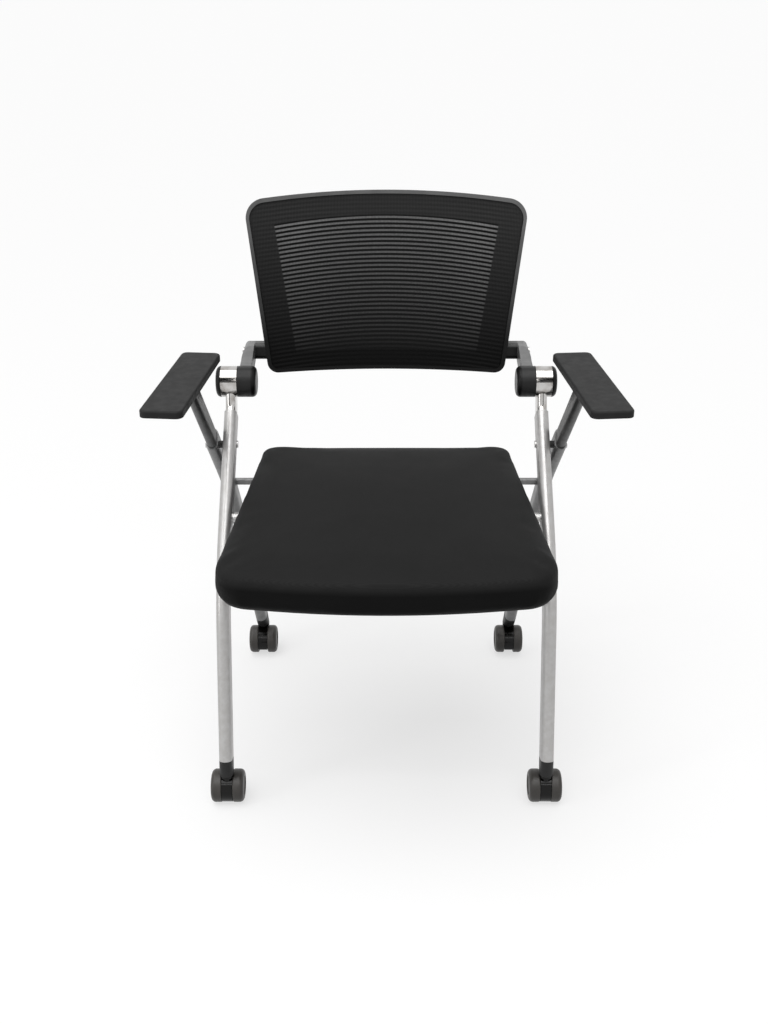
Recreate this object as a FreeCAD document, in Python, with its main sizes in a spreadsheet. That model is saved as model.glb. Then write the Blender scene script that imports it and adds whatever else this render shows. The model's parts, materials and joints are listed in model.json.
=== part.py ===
import FreeCAD, Part
import math
import os
import re
import Sketcher

os.makedirs("parts", exist_ok=True)
doc = FreeCAD.newDocument("NestingChair")
sheet = doc.addObject("Spreadsheet::Sheet", "Sizes")

# Driving sizes in millimetres and degrees.
# X runs to the sitter's left, Y to the rear and Z up. The floor is Z = 0.
# The origin is on the floor under the middle of the chair.
SIZES = (
    # Oval tubes
    ("tube_width", 20, "leg tube, outside, across the chair"),
    ("tube_depth", 39, "leg tube, outside, along its bend"),
    ("tube_wall", 2, "wall of every tube"),
    ("plug_gap", 0.1, "gap round a piece that plugs into a tube"),
    ("plug_depth", 38, "how far the arm post and the hub joint go into their legs"),
    # Front leg: a vertical plane beside the seat
    ("front_leg_x", 251, "plane of the front leg"),
    ("front_foot_y", -188, "lower end of the front leg"),
    ("foot_z", 80, "height of the lower ends of the legs"),
    ("front_bend_y", -105, "corner of the front leg's bend"),
    ("front_bend_z", 349, "corner of the front leg's bend"),
    ("front_bend_radius", 300, "bend of the front leg"),
    ("front_top_y", 103, "upper end of the front leg"),
    ("front_top_z", 543.5, "upper end of the front leg"),
    # Rear leg: a plane that splays outwards as it rises
    ("rear_plane_x", 229, "the rear leg's plane where it would meet the floor"),
    ("leg_splay", 5.7, "tilt of that plane"),
    ("rear_foot_y", 255, "lower end of the rear leg"),
    ("rear_bend_y", 170, "corner of the rear leg's bend"),
    ("rear_bend_z", 389, "corner of the rear leg's bend, along the plane"),
    ("rear_bend_radius", 400, "bend of the rear leg"),
    ("rear_top_y", 72.1, "upper end of the rear leg"),
    ("rear_top_z", 516.6, "upper end of the rear leg, along the plane"),
    ("cross_bar_radius", 6, "bar between the rear legs"),
    ("cross_bar_y", 170, "bar between the rear legs"),
    ("cross_bar_z", 395, "bar between the rear legs"),
    ("frame_bolt_radius", 4, "bolt through the crossing legs"),
    ("frame_bolt_y", 74.5, "bolt through the crossing legs"),
    ("frame_bolt_z", 503.5, "bolt through the crossing legs"),
    ("frame_bolt_head", 6, "radius of the bolt's head, of its nut and of the spacer"),
    ("head_height", 2, "height of the bolt's head and of its nut"),
    # Hubs that the back turns on
    ("hub_y", 123.5, "axis of the back's tilt"),
    ("hub_z", 593, "axis of the back's tilt"),
    ("hub_radius", 25, "collar, drum and caps"),
    ("collar_width", 26, "chromed collar on the front leg"),
    ("collar_inner_x", 240, "inner end of the collar"),
    ("drum_width", 22.3, "drum of the back's bracket"),
    ("drum_gap", 0.3, "gap between drum and collar"),
    ("drum_wall", 4, "wall of the drum"),
    ("cap_height", 8, "domed cap of the collar"),
    ("inner_cap_height", 8, "domed cap of the drum"),
    ("cap_flat", 0.5, "upright edge of both caps under their rounding"),
    ("shaft_radius", 6, "shaft in the hub"),
    ("bush_wall", 2, "bush between the shaft and the drum"),
    ("neck_width", 16.4, "neck of the hub joint"),
    ("neck_depth", 35, "neck of the hub joint"),
    ("neck_bend_y", 112.2, "corner in the neck"),
    ("neck_bend_z", 552, "corner in the neck"),
    ("neck_bend_radius", 25, "bend of the neck"),
    ("running_gap", 0.05, "radial gap of every pin that turns"),
    ("bolt_gap", 0.1, "radial gap of every fixed screw and pin"),
    ("sleeve_gap", 0.1, "gap round the rubber torsion sleeve in the drum"),
    # Back
    ("back_y", 176.5, "front face of the back at its lower edge"),
    ("back_z", 588, "lower edge of the back"),
    ("back_lean", 14.4, "lean of the back"),
    ("back_height", 297, "height of the back along its lean"),
    ("back_arch", 20, "rise of the upper edge in its middle"),
    ("back_low_arch", 6, "rise of the lower edge in its middle"),
    ("back_bottom_half", 195, "half the lower width of the back"),
    ("back_top_half", 231, "half the upper width of the back"),
    ("back_top_corner", 32, "upper corners of the back"),
    ("back_bottom_corner", 18, "lower corners of the back"),
    ("back_rim", 6, "rim of the back's frame"),
    ("back_depth", 28, "depth of the back's frame"),
    ("back_curve", 900, "radius of the back in plan"),
    ("mesh_thickness", 1.5, "mesh"),
    ("mesh_setback", 1.5, "mesh behind the frame's front face"),
    ("mesh_tongue", 3, "how far the mesh goes into the frame's groove"),
    ("mesh_gap", 0.1, "gap round the mesh in its groove"),
    ("bracket_inner_x", 218, "inner face of the bracket's arm"),
    ("bracket_width", 18, "bracket's arm"),
    ("bracket_foot_y", 187.5, "front of the bracket's foot"),
    ("bracket_foot_depth", 24, "bracket's foot on the back's frame"),
    ("bracket_foot_z", 607.5, "lower face of the bracket's foot"),
    ("bracket_foot_height", 26, "bracket's foot"),
    ("bracket_round", 11, "upper outer corner of the bracket"),
    ("bracket_edge", 6, "rear corners of the bracket's arm"),
    ("bracket_screw_radius", 3, "screw from the bracket into the frame"),
    ("groove_wall", 1, "left between that screw and the mesh's groove"),
    ("screw_bite", 5, "how far a screw goes into its last piece"),
    # Arms
    ("arm_x", 293.8, "middle of the arm pad"),
    ("arm_y", -81, "middle of the arm pad"),
    ("arm_top_z", 668, "upper face of the arm pad"),
    ("arm_toe", 4.9, "turn of the arm pad, its front outwards"),
    ("arm_length", 255, "arm pad"),
    ("arm_width", 60, "arm pad"),
    ("arm_thickness", 10.5, "arm pad"),
    ("arm_corner", 10, "corners of the arm pad"),
    ("arm_edge", 3, "rounding of the arm pad's edges"),
    ("plate_length", 170, "plate under the arm pad"),
    ("plate_width", 38, "plate under the arm pad"),
    ("plate_thickness", 4, "plate under the arm pad"),
    ("plate_back", 22, "plate's middle behind the pad's middle"),
    ("plate_screw_space", 130, "between the two screws of an arm pad"),
    ("small_screw_radius", 2.5, "screws of pads and seat"),
    ("small_head_radius", 5, "heads of those screws"),
    ("small_head_height", 2.5, "heads of those screws"),
    # Seat
    ("seat_base_z", 406, "underside of the seat's shell"),
    ("seat_front_y", -313, "middle of the seat's front edge, before its rounding"),
    ("seat_corner_y", -279, "front corners of the seat"),
    ("seat_rear_y", 163, "rear edge of the seat"),
    ("seat_side_gap", 2.5, "between the seat's front and the front legs"),
    ("seat_rear_half", 203, "half the seat's width behind"),
    ("seat_front_corner", 48, "front corners of the seat"),
    ("seat_rear_corner", 22, "rear corners of the seat"),
    ("seat_bow", 0.83, "share of the front edge's straights that its bow takes"),
    ("shell_thickness", 4, "seat shell"),
    ("shell_inset", 1.5, "shell's edge inside the cushion's edge"),
    ("board_thickness", 10, "ply board in the cushion"),
    ("board_inset", 28, "board's edge inside the cushion's edge"),
    ("cushion_side", 48, "height of the cushion's side"),
    ("cushion_round", 12, "rounding between its side and its top"),
    ("cushion_draw", 7, "how far its lower edge is drawn in"),
    ("cushion_crown", 6, "rise of its top"),
    ("pivot_y", -26.5, "axis of the seat's flip"),
    ("pivot_z", 422, "axis of the seat's flip"),
    ("pivot_radius", 5, "pin that the seat flips on"),
    ("pivot_collar_radius", 7, "bright collar between the rail and the leg"),
    ("pivot_collar_length", 11.7, "bright collar between the rail and the leg"),
    ("pivot_head_radius", 8, "head of the pin"),
    ("pivot_head_height", 4, "head of the pin"),
    ("rail_thickness", 5, "steel rail beside the seat"),
    ("rail_side_gap", 0.3, "gap on each side of the rail's ear"),
    ("rail_height", 14, "rail's bar"),
    ("screw_edge", 9, "from the seat's screws to the edge of the board"),
    ("flange_edge", 12, "from the seat's screws to the edge of the rail's flange"),
    ("flange_thickness", 3, "rail's flange under the shell"),
    ("flange_length", 150, "rail's flange under the shell"),
    ("ear_radius", 13, "rail's ear round the pin"),
    ("tail_length", 38, "rail's tail under the cross bar"),
    ("tail_height", 12, "rail's tail"),
    ("bumper_height", 4, "rubber between the tail and the cross bar"),
    ("bumper_length", 16, "rubber between the tail and the cross bar"),
    # Casters
    ("wheel_radius", 26, "caster wheel"),
    ("wheel_width", 17, "caster wheel"),
    ("wheel_round", 7, "outer edge of the wheel's tread"),
    ("wheel_inner_round", 2, "inner edge of the wheel's tread"),
    ("wheel_dish", 1.5, "depth of the dish in the wheel's outer face"),
    ("wheel_gap", 0.4, "gap between wheel and caster body"),
    ("caster_width", 16.6, "caster body, between its wheels"),
    ("caster_step", 0.6, "caster body's rim inside the wheels' treads"),
    ("caster_clearance", 3, "gap between the caster body and the floor"),
    ("caster_open_z", 15, "height of the opening in the caster body's trailing side"),
    ("caster_trail", 9, "from the stem's axis to the wheels' axle"),
    ("axle_radius", 3, "axle of the wheels"),
    ("axle_length", 38, "axle of the wheels"),
    ("stem_radius", 4, "stem of the caster"),
    ("stem_top_z", 84, "upper end of the stem"),
    ("swivel_gap", 0.3, "gap between the caster body and the leg's plug"),
    ("caster_top_z", 57, "upper face of the caster body"),
    ("front_stem_y", -195.5, "stem of the front caster"),
    ("rear_stem_y", 261.5, "stem of the rear caster"),
    ("foot_plug_width", 22, "leg's plug where it meets the caster"),
    ("foot_plug_depth", 24, "leg's plug where it meets the caster"),
    ("foot_plug_length", 26, "leg's plug inside the tube"),
)

NAMES = {name for name, _, _ in SIZES}
for row, (name, size, note) in enumerate(SIZES, start=1):
    sheet.set(f"A{row}", note)
    sheet.set(f"B{row}", str(size))
    sheet.setAlias(f"B{row}", name)
doc.recompute()


def formula(text):
    """Turn size names into references to the spreadsheet."""
    return re.sub(r"[a-z][a-z_]*", lambda word: f"Sizes.{word[0]}" if word[0] in NAMES else word[0], str(text))


def value(text):
    """The number that a formula gives now."""
    result = sheet.evalExpression(formula(text))
    return float(getattr(result, "Value", result))


def bind(item, prop, text):
    item.setExpression(prop, formula(text))


def place(item, x=0, y=0, z=0, axis=None, angle=0):
    """Put an object at x, y, z, turned by an angle about an axis."""
    if axis:
        item.Placement = FreeCAD.Placement(FreeCAD.Vector(), FreeCAD.Rotation(FreeCAD.Vector(*axis), 1))
        bind(item, "Placement.Rotation.Angle", angle)
    for letter, text in zip("xyz", (x, y, z)):
        bind(item, f"Placement.Base.{letter}", text)
    return item


ALONG_X = (1, 0, 0)
ALONG_Y = (0, 1, 0)
ALONG_Z = (0, 0, 1)


def cylinder(name, radius, height):
    item = doc.addObject("Part::Cylinder", name)
    bind(item, "Radius", radius)
    bind(item, "Height", height)
    return item


def rod_x(name, radius, start, length, y, z):
    """A cylinder along X."""
    return place(cylinder(name, radius, length), start, y, z, ALONG_Y, 90)


def rod_z(name, radius, x, y, start, length):
    """An upright cylinder."""
    return place(cylinder(name, radius, length), x, y, start)


def block(name, length, width, height, x, y, z):
    """A box with its low corner at x, y, z."""
    item = doc.addObject("Part::Box", name)
    bind(item, "Length", length)
    bind(item, "Width", width)
    bind(item, "Height", height)
    return place(item, x, y, z)


def fuse(name, *pieces):
    item = doc.addObject("Part::MultiFuse", name)
    item.Shapes = list(pieces)
    return item


def common(name, *pieces):
    item = doc.addObject("Part::MultiCommon", name)
    item.Shapes = list(pieces)
    return item


def cut(name, base, *tools):
    """Take tools away from a base, one after the other."""
    for count, tool in enumerate(tools, start=1):
        item = doc.addObject("Part::Cut", name if count == len(tools) else f"{name}_cut_{count}")
        item.Base = base
        item.Tool = tool
        base = item
    return base


def mirrored(name, source):
    """The same piece on the sitter's right."""
    item = doc.addObject("Part::Mirroring", name)
    item.Source = source
    item.Normal = FreeCAD.Vector(1, 0, 0)
    return item


def group(name, *pieces):
    """Several separate solids under one name."""
    item = doc.addObject("Part::Compound", name)
    item.Links = list(pieces)
    return item


def fix_point(sketch, line, end, x, y):
    """Hold one end of a sketch line at x, y."""
    for kind, text in (("DistanceX", x), ("DistanceY", y)):
        number = sketch.addConstraint(Sketcher.Constraint(kind, -1, 1, line, end, value(text)))
        bind(sketch, f"Constraints[{number}]", text)


def point(x, y):
    return FreeCAD.Vector(value(x), value(y), 0)


def draw_polygon(sketch, corners):
    """A closed outline of straight lines, every corner held by its two sizes."""
    last = len(corners) - 1
    for number, corner in enumerate(corners):
        following = corners[0 if number == last else number + 1]
        sketch.addGeometry(Part.LineSegment(point(*corner), point(*following)))
    for number, corner in enumerate(corners):
        before = last if number == 0 else number - 1
        sketch.addConstraint(Sketcher.Constraint("Coincident", before, 2, number, 1))
        fix_point(sketch, number, 1, *corner)


def draw_oval(sketch, width, depth):
    """A flat-sided oval round the origin: width along x, depth along y."""
    radius = value(width) / 2
    half_flat = (value(depth) - value(width)) / 2
    flat = FreeCAD.Vector(0, half_flat, 0)
    side = FreeCAD.Vector(radius, 0, 0)
    axis = FreeCAD.Vector(*ALONG_Z)
    sketch.addGeometry(Part.LineSegment(side - flat, side + flat))
    sketch.addGeometry(Part.ArcOfCircle(Part.Circle(flat, axis, radius), 0, math.pi))
    sketch.addGeometry(Part.LineSegment(flat - side, -flat - side))
    sketch.addGeometry(Part.ArcOfCircle(Part.Circle(-flat, axis, radius), math.pi, 2 * math.pi))
    for first, second in ((0, 1), (2, 3)):
        sketch.addConstraint(Sketcher.Constraint("Tangent", first, 2, second, 1))
    for first, second in ((1, 2), (3, 0)):
        sketch.addConstraint(Sketcher.Constraint("Tangent", first, 2, second, 1))
    sketch.addConstraint(Sketcher.Constraint("Vertical", 0))
    fix_point(sketch, 1, 3, 0, f"(({depth}) - ({width})) / 2")
    fix_point(sketch, 3, 3, 0, f"(({width}) - ({depth})) / 2")
    number = sketch.addConstraint(Sketcher.Constraint("Radius", 1, radius))
    bind(sketch, f"Constraints[{number}]", f"({width}) / 2")


def draw_bend(sketch, start, corner, end, radius):
    """A line, a bend of the given radius about a corner, and a line."""
    first, middle, last = point(*start), point(*corner), point(*end)
    back = (first - middle).normalize()
    ahead = (last - middle).normalize()
    turn = math.pi - back.getAngle(ahead)
    reach = value(radius) * math.tan(turn / 2)
    leave, join = middle + back * reach, middle + ahead * reach
    towards_centre = (back + ahead).normalize()
    centre = middle + towards_centre * (value(radius) / math.cos(turn / 2))
    anticlockwise = back.cross(ahead).z < 0
    begin, finish = (leave, join) if anticlockwise else (join, leave)
    arc_start, arc_end = (1, 2) if anticlockwise else (2, 1)
    angles = [math.atan2(spot.y - centre.y, spot.x - centre.x) for spot in (begin, finish)]
    circle = Part.Circle(centre, FreeCAD.Vector(*ALONG_Z), value(radius))
    sketch.addGeometry(Part.LineSegment(first, leave))
    sketch.addGeometry(Part.ArcOfCircle(circle, angles[0], angles[1]))
    sketch.addGeometry(Part.LineSegment(join, last))
    corner_point = sketch.addGeometry(Part.Point(middle), True)
    sketch.addConstraint(Sketcher.Constraint("Tangent", 0, 2, 1, arc_start))
    sketch.addConstraint(Sketcher.Constraint("Tangent", 1, arc_end, 2, 1))
    sketch.addConstraint(Sketcher.Constraint("PointOnObject", corner_point, 1, 0))
    sketch.addConstraint(Sketcher.Constraint("PointOnObject", corner_point, 1, 2))
    fix_point(sketch, 0, 1, *start)
    fix_point(sketch, corner_point, 1, *corner)
    fix_point(sketch, 2, 2, *end)
    number = sketch.addConstraint(Sketcher.Constraint("Radius", 1, value(radius)))
    bind(sketch, f"Constraints[{number}]", radius)


def body_sketch(body, name, plane, offset=0):
    """A sketch on one of a body's own planes, moved along its normal."""
    sketch = body.newObject("Sketcher::SketchObject", name)
    support = next(item for item in body.Origin.OriginFeatures if item.Role == plane)
    sketch.AttachmentSupport = (support, [""])
    sketch.MapMode = "FlatFace"
    bind(sketch, "AttachmentOffset.Base.z", offset)
    return sketch


def upright_edges(feature, direction, corner=None):
    """Names of a pad's edges along a direction, all or the ones at a corner."""
    names = []
    for number, edge in enumerate(feature.Shape.Edges, start=1):
        if len(edge.Vertexes) < 2:
            continue
        run = edge.Vertexes[1].Point - edge.Vertexes[0].Point
        straight = abs(edge.Length - run.Length) < 0.001
        if straight and run.normalize().cross(direction).Length < 0.001:
            if corner is None or corner(edge.CenterOfMass):
                names.append(f"Edge{number}")
    return names


def padded(name, plane, corners, length, offset=0, middle=False):
    """A body that pads an outline of straight lines."""
    body = doc.addObject("PartDesign::Body", name)
    sketch = body_sketch(body, f"{name}_outline", plane, offset)
    draw_polygon(sketch, corners)
    pad = body.newObject("PartDesign::Pad", f"{name}_pad")
    pad.Profile = sketch
    pad.Midplane = middle
    bind(pad, "Length", length)
    sketch.Visibility = False
    doc.recompute()
    return body


def round_edges(body, edges, radius):
    """Fillet edges of a body's last feature."""
    tip = body.Tip
    fillet = body.newObject("PartDesign::Fillet", f"{body.Name}_fillet")
    fillet.Base = (tip, edges)
    bind(fillet, "Radius", radius)
    doc.recompute()


def turned(name, corners):
    """A body turned about the X axis: corners are (x, radius)."""
    body = doc.addObject("PartDesign::Body", name)
    sketch = body_sketch(body, f"{name}_outline", "XY_Plane")
    draw_polygon(sketch, corners)
    spin = body.newObject("PartDesign::Revolution", f"{name}_spin")
    spin.Profile = sketch
    spin.ReferenceAxis = (sketch, ["H_Axis"])
    spin.Angle = 360
    doc.recompute()
    return body


def loose_sketch(name):
    return doc.addObject("Sketcher::SketchObject", name)


def side_path(name, start, corner, end, radius):
    """A bent path in the YZ plane."""
    sketch = loose_sketch(name)
    draw_bend(sketch, start, corner, end, radius)
    sketch.Placement = FreeCAD.Placement(FreeCAD.Vector(), FreeCAD.Rotation(0.5, 0.5, 0.5, 0.5))
    return sketch


def side_line(name, start, end):
    """A straight path in the YZ plane."""
    sketch = loose_sketch(name)
    sketch.addGeometry(Part.LineSegment(point(*start), point(*end)))
    fix_point(sketch, 0, 1, *start)
    fix_point(sketch, 0, 2, *end)
    sketch.Placement = FreeCAD.Placement(FreeCAD.Vector(), FreeCAD.Rotation(0.5, 0.5, 0.5, 0.5))
    return sketch


def oval_section(name, width, depth, y, z, lean):
    """An oval square to a path that leans back by an angle."""
    sketch = loose_sketch(name)
    draw_oval(sketch, width, depth)
    return place(sketch, 0, y, z, ALONG_X, f"-({lean})")


def sweep(name, section, path):
    item = doc.addObject("Part::Sweep", name)
    item.Sections = [section]
    item.Spine = (path, [f"Edge{number + 1}" for number in range(len(path.Shape.Edges))])
    item.Solid = True
    return item


def lean_of(start, end):
    """Angle from upright of a line in the YZ plane."""
    return f"atan((({end[0]}) - ({start[0]})) / (({end[1]}) - ({start[1]})))"


def oval_bar(name, width, depth, path, start, lean):
    """A solid oval bar along a path."""
    section = oval_section(f"{name}_section", width, depth, *start, lean)
    doc.recompute()
    return sweep(name, section, path)


def oval_tube(name, width, depth, path, start, lean):
    """A hollow oval tube along a path, with its outer solid."""
    outer = oval_bar(f"{name}_outer", width, depth, path, start, lean)
    inner = oval_bar(f"{name}_inner", f"{width} - 2 * tube_wall", f"{depth} - 2 * tube_wall", path, start, lean)
    return cut(f"{name}_tube", outer, inner), outer


def along(start, end, distance):
    """The point at a distance from start on the line to end."""
    run_y = f"(({end[0]}) - ({start[0]}))"
    run_z = f"(({end[1]}) - ({start[1]}))"
    reach = f"sqrt({run_y} * {run_y} + {run_z} * {run_z})"
    return (
        f"{start[0]} + {run_y} * ({distance}) / {reach}",
        f"{start[1]} + {run_z} * ({distance}) / {reach}",
    )


nodes = []


def keep(item):
    """Note a finished sub-part, which goes to a file under its label."""
    nodes.append(item)
    return item


def keep_pair(name, build):
    """Make a piece for the sitter's left and mirror it to the right."""
    left = keep(build(f"{name}_left"))
    keep(mirrored(f"{name}_right", left))
    return left


# Frame: legs
FRONT_FOOT = ("front_foot_y", "foot_z")
FRONT_BEND = ("front_bend_y", "front_bend_z")
FRONT_TOP = ("front_top_y", "front_top_z")
REAR_FOOT = ("rear_foot_y", "foot_z")
REAR_BEND = ("rear_bend_y", "rear_bend_z")
REAR_TOP = ("rear_top_y", "rear_top_z")


def splayed(item):
    """Put a piece that was drawn in the YZ plane on the rear leg's plane."""
    return place(item, "rear_plane_x", 0, 0, ALONG_Y, "leg_splay")


def splay_x(z):
    """X of the rear leg's plane at a height."""
    return f"(rear_plane_x + ({z}) * tan(leg_splay))"


front_path = side_path("front_path", FRONT_FOOT, FRONT_BEND, FRONT_TOP, "front_bend_radius")
front_lean = lean_of(FRONT_FOOT, FRONT_BEND)
front_tube, front_outer = oval_tube("front_leg", "tube_width", "tube_depth", front_path, FRONT_FOOT, front_lean)
place(front_tube, "front_leg_x")

rear_path = side_path("rear_path", REAR_FOOT, REAR_BEND, REAR_TOP, "rear_bend_radius")
rear_lean = lean_of(REAR_FOOT, REAR_BEND)
rear_tube, rear_outer = oval_tube("rear_leg", "tube_width", "tube_depth", rear_path, REAR_FOOT, rear_lean)
splayed(rear_tube)
rear_solid = splayed(oval_bar("rear_solid", "tube_width", "tube_depth", rear_path, REAR_FOOT, rear_lean))

frame_bolt_start = "front_leg_x - tube_width / 2 - head_height"
frame_bolt_end = f"{splay_x('frame_bolt_z')} + tube_width / 2 + head_height"
frame_bolt_hole = rod_x(
    "frame_bolt_hole", "frame_bolt_radius + bolt_gap", frame_bolt_start,
    f"{frame_bolt_end} - ({frame_bolt_start})", "frame_bolt_y", "frame_bolt_z",
)
pivot_thread = "pivot_radius - 1"
pivot_hole = rod_x(
    "pivot_hole", f"{pivot_thread} + bolt_gap", "front_leg_x - tube_width", "2 * tube_width", "pivot_y", "pivot_z"
)
keep_pair("front_leg", lambda name: cut(name, front_tube, frame_bolt_hole, pivot_hole))
keep_pair("rear_leg", lambda name: cut(name, rear_tube, frame_bolt_hole))

cross_bar_span = f"2 * {splay_x('cross_bar_z')}"
cross_bar_rod = rod_x(
    "cross_bar_rod", "cross_bar_radius", f"-{cross_bar_span} / 2", cross_bar_span, "cross_bar_y", "cross_bar_z"
)
keep(cut("cross_bar", cross_bar_rod, rear_solid, mirrored("rear_solid_right", rear_solid)))

# Frame: bolt, spacer and nut where the legs cross
leg_outer_face = "front_leg_x + tube_width / 2"


def spacer(name):
    length = f"{splay_x('frame_bolt_z')} - ({leg_outer_face})"
    ring = rod_x(f"{name}_ring", "frame_bolt_head", leg_outer_face, length, "frame_bolt_y", "frame_bolt_z")
    return cut(name, ring, rear_solid, frame_bolt_hole)


def frame_bolt(name):
    head = rod_x(
        f"{name}_head", "frame_bolt_head", frame_bolt_start, "head_height", "frame_bolt_y", "frame_bolt_z"
    )
    shank = rod_x(
        f"{name}_shank", "frame_bolt_radius", frame_bolt_start,
        f"{frame_bolt_end} - ({frame_bolt_start}) - 1", "frame_bolt_y", "frame_bolt_z",
    )
    return fuse(name, head, shank)


def frame_nut(name):
    start = splay_x("frame_bolt_z")
    disc = rod_x(
        f"{name}_disc", "frame_bolt_head", start, f"{frame_bolt_end} - {start}", "frame_bolt_y", "frame_bolt_z"
    )
    bore = rod_x(
        f"{name}_bore", "frame_bolt_radius", start, f"{frame_bolt_end} - 1 - {start}", "frame_bolt_y", "frame_bolt_z"
    )
    return cut(name, disc, rear_solid, bore)


def both(name, build):
    """A group of one piece and its mirror image."""
    left = build(f"{name}_one")
    return keep(group(name, left, mirrored(f"{name}_other", left)))


both("frame_spacers", spacer)
both("frame_bolts", frame_bolt)
both("frame_nuts", frame_nut)


# Frame: hub joint, a chromed collar with a neck that plugs into the front leg
HUB = ("hub_y", "hub_z")
NECK_BEND = ("neck_bend_y", "neck_bend_z")
SPIGOT_END = along(FRONT_TOP, FRONT_BEND, "plug_depth")
spigot_lean = lean_of(FRONT_BEND, FRONT_TOP)
spigot_width = "tube_width - 2 * tube_wall - 2 * plug_gap"
spigot_depth = "tube_depth - 2 * tube_wall - 2 * plug_gap"


def hub_joint(name):
    collar = rod_x(f"{name}_collar", "hub_radius", "collar_inner_x", "collar_width", *HUB)
    neck_path = side_path(f"{name}_neck_path", FRONT_TOP, NECK_BEND, HUB, "neck_bend_radius")
    neck_lean = lean_of(FRONT_TOP, NECK_BEND)
    neck = oval_bar(f"{name}_neck", "neck_width", "neck_depth", neck_path, FRONT_TOP, neck_lean)
    place(neck, "front_leg_x")
    spigot_path = side_line(f"{name}_spigot_path", SPIGOT_END, FRONT_TOP)
    spigot = oval_bar(f"{name}_spigot", spigot_width, spigot_depth, spigot_path, SPIGOT_END, spigot_lean)
    place(spigot, "front_leg_x")
    bore = rod_x(
        f"{name}_bore", "shaft_radius + bolt_gap", "collar_inner_x", "collar_width", *HUB
    )
    return cut(name, fuse(f"{name}_whole", collar, neck, spigot), bore)


def dome(name, radius, height):
    """A disc with a rounded outer edge, turned about X, its flat face at x = 0."""
    disc = turned(name, (("0", "0"), ("0", radius), (height, radius), (height, "0")))
    rim = [
        f"Edge{number}" for number, edge in enumerate(disc.Tip.Shape.Edges, start=1)
        if edge.BoundBox.XMin > value(height) - 0.001 and edge.BoundBox.ZMax > value(radius) - 0.001
    ]
    round_edges(disc, rim, f"{height} - cap_flat")
    return disc


def hub_outer_cap(name):
    return place(dome(name, "hub_radius", "cap_height"), "collar_inner_x + collar_width", *HUB)


drum_outer_x = "collar_inner_x - drum_gap"
drum_inner_x = "collar_inner_x - drum_gap - drum_width"
shaft_end_x = f"{drum_inner_x} + drum_wall"


def hub_shaft(name):
    length = f"collar_inner_x + collar_width - ({shaft_end_x})"
    return rod_x(name, "shaft_radius", shaft_end_x, length, *HUB)


def hub_torsion_sleeve(name):
    """A rubber sleeve on the shaft, which the drum twists."""
    start = f"{shaft_end_x} + sleeve_gap"
    length = "drum_width - 2 * drum_wall - 2 * sleeve_gap"
    rubber = rod_x(f"{name}_rubber", "hub_radius - drum_wall - sleeve_gap", start, length, *HUB)
    bore = rod_x(f"{name}_bore", "shaft_radius + sleeve_gap", start, length, *HUB)
    return cut(name, rubber, bore)


keep_pair("hub_joint", hub_joint)
keep_pair("hub_outer_cap", hub_outer_cap)
keep_pair("hub_shaft", hub_shaft)
keep_pair("hub_torsion_sleeve", hub_torsion_sleeve)

# Frame: arm posts, plates and pads
plate_top_z = "arm_top_z - arm_thickness"
plate_low_z = f"{plate_top_z} - plate_thickness"
post_width = "(tube_width - 2 * tube_wall - 2 * plug_gap)"
post_depth = "(tube_depth - 2 * tube_wall - 2 * plug_gap)"


def arm_post(name):
    start = along(REAR_TOP, REAR_BEND, "plug_depth")
    rise = "(arm_top_z - rear_top_z) * 1.6"
    end = along(REAR_TOP, REAR_BEND, f"-({rise})")
    path = side_line(f"{name}_path", start, end)
    lean = lean_of(start, end)
    tube, _ = oval_tube(name, post_width, post_depth, path, start, lean)
    splayed(tube)
    above = block(f"{name}_above", 400, 800, 400, "arm_x - 200", "arm_y - 400", plate_low_z)
    return cut(name, tube, above, frame_bolt_hole)


def toed(item, back, z):
    """Put a piece that was drawn round the origin in line with the arm pad."""
    return place(item, f"arm_x - ({back}) * sin(arm_toe)", f"arm_y + ({back}) * cos(arm_toe)", z, ALONG_Z, "arm_toe")


def rectangle(width, length):
    return (
        (f"-({width}) / 2", f"-({length}) / 2"), (f"({width}) / 2", f"-({length}) / 2"),
        (f"({width}) / 2", f"({length}) / 2"), (f"-({width}) / 2", f"({length}) / 2"),
    )


def pad_screw(name, radius, start, length, offset):
    back = f"plate_back + ({offset})"
    return toed(cylinder(name, radius, length), back, start)


def pad_screw_holes(name, start, length):
    offsets = ("-plate_screw_space / 2", "plate_screw_space / 2")
    return [
        pad_screw(f"{name}_{count}", "small_screw_radius + bolt_gap", start, length, offset)
        for count, offset in enumerate(offsets, start=1)
    ]


def arm_plate(name):
    body = padded(f"{name}_flat", "XY_Plane", rectangle("plate_width", "plate_length"), "plate_thickness")
    round_edges(body, upright_edges(body.Tip, FreeCAD.Vector(*ALONG_Z)), "plate_width / 4")
    toed(body, "plate_back", plate_low_z)
    return cut(name, body, *pad_screw_holes(f"{name}_hole", plate_low_z, "plate_thickness"))


screw_in_pad = "plate_thickness + screw_bite"


def arm_pad(name):
    body = padded(f"{name}_block", "XY_Plane", rectangle("arm_width", "arm_length"), "arm_thickness")
    round_edges(body, upright_edges(body.Tip, FreeCAD.Vector(*ALONG_Z)), "arm_corner")
    top = [
        f"Edge{number}" for number, edge in enumerate(body.Tip.Shape.Edges, start=1)
        if edge.BoundBox.ZMin > value("arm_thickness") - 0.001
    ]
    round_edges(body, top, "arm_edge")
    toed(body, 0, plate_top_z)
    return cut(name, body, *pad_screw_holes(f"{name}_hole", plate_top_z, "screw_bite + bolt_gap"))


def arm_pad_screws(name):
    screws = []
    for count, offset in enumerate(("-plate_screw_space / 2", "plate_screw_space / 2"), start=1):
        head = pad_screw(
            f"{name}_head_{count}", "small_head_radius", f"{plate_low_z} - small_head_height", "small_head_height", offset
        )
        shank = pad_screw(f"{name}_shank_{count}", "small_screw_radius", plate_low_z, screw_in_pad, offset)
        screws.append(fuse(f"{name}_{count}", head, shank))
    return group(name, *screws)


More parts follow.
